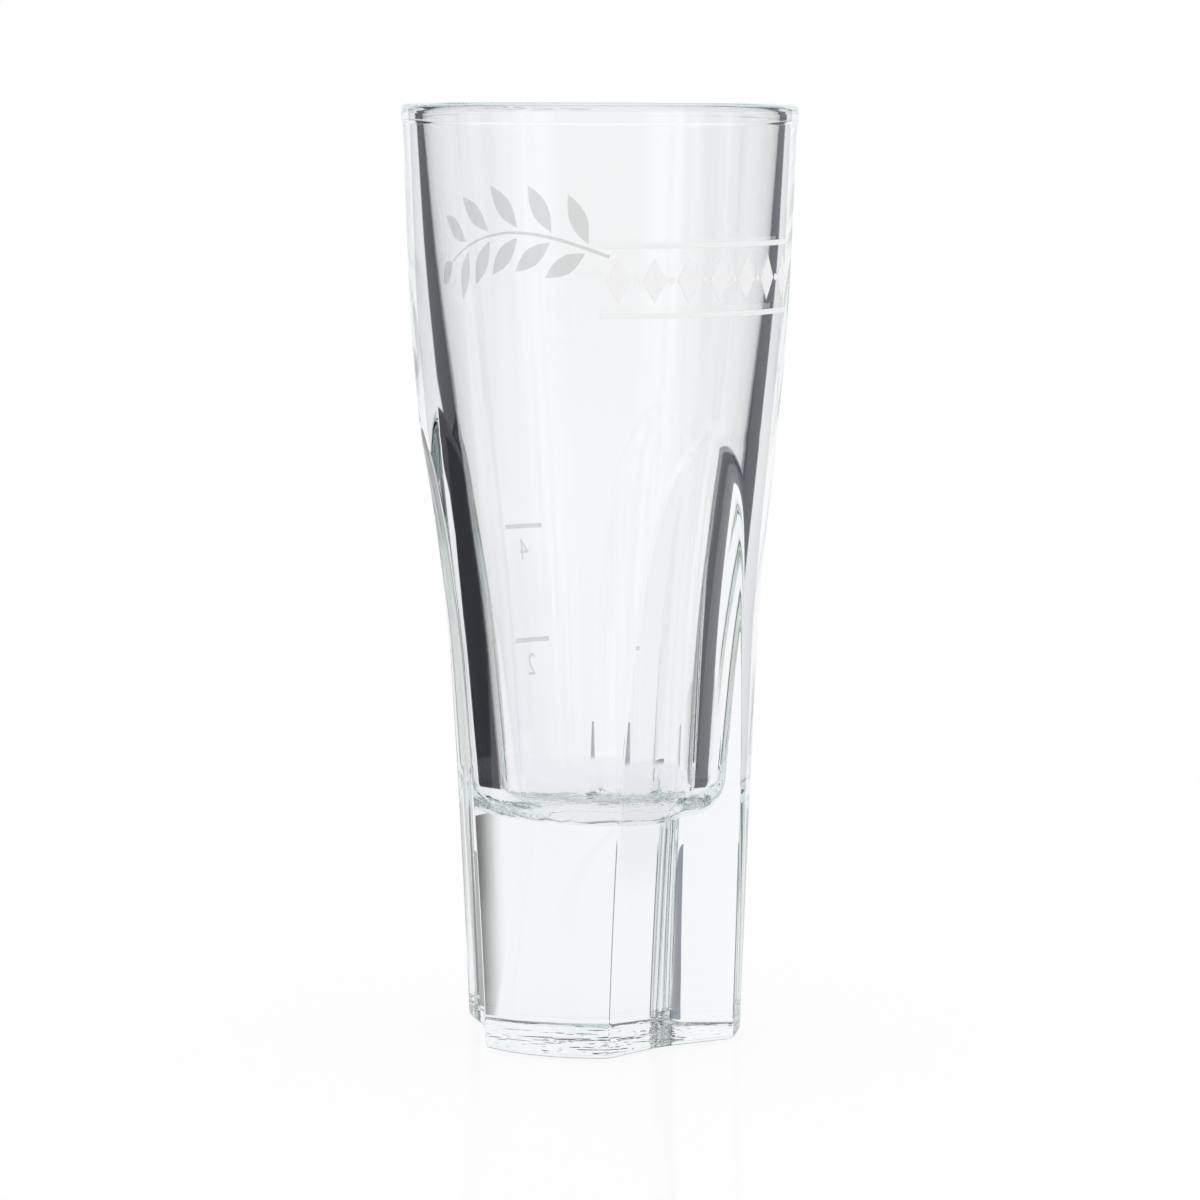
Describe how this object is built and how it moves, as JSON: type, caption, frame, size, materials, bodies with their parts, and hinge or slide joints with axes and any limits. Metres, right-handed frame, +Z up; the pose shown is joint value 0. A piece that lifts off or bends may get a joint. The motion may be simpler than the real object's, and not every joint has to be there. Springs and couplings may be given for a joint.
{
  "type": "liqueur glass",
  "caption": "Clear pressed liqueur glass with a round lip, tapering wall, thick solid base, V-shaped flutes and white enamel border, sprig and fill marks.",
  "frame": {"origin": "centre of the flat resting face, on the axis of the glass", "axes": "+Z up along the axis to the lip; -Y towards the front border and the flute below it; +Y towards the fill marks"},
  "size_m": [0.0596, 0.0596, 0.142],
  "materials": {
    "clear_glass": "fire-polished clear soda-lime glass",
    "white_enamel": "fired white screen-printed enamel"
  },
  "bodies": {
    "root": {"glass_body": "clear_glass", "front_rule_upper": "white_enamel", "front_rule_lower": "white_enamel", "front_lozenge_1": "white_enamel", "front_lozenge_2": "white_enamel", "front_lozenge_3": "white_enamel", "front_lozenge_4": "white_enamel", "front_lozenge_5": "white_enamel", "front_lozenge_6": "white_enamel", "front_lozenge_7": "white_enamel", "front_dot_1": "white_enamel", "front_dot_2": "white_enamel", "front_dot_3": "white_enamel", "front_dot_4": "white_enamel", "front_dot_5": "white_enamel", "front_dot_6": "white_enamel", "rear_stem": "white_enamel", "rear_leaf_upper_1": "white_enamel", "rear_leaf_lower_1": "white_enamel", "rear_leaf_upper_2": "white_enamel", "rear_leaf_lower_2": "white_enamel", "rear_leaf_upper_3": "white_enamel", "rear_leaf_lower_3": "white_enamel", "rear_leaf_upper_4": "white_enamel", "rear_leaf_lower_4": "white_enamel", "rear_leaf_upper_5": "white_enamel", "rear_leaf_lower_5": "white_enamel", "rear_leaf_end": "white_enamel", "fill_line_4cl": "white_enamel", "fill_numeral_4": "white_enamel", "fill_line_2cl": "white_enamel", "fill_numeral_2": "white_enamel"}
  },
  "joints": []
}
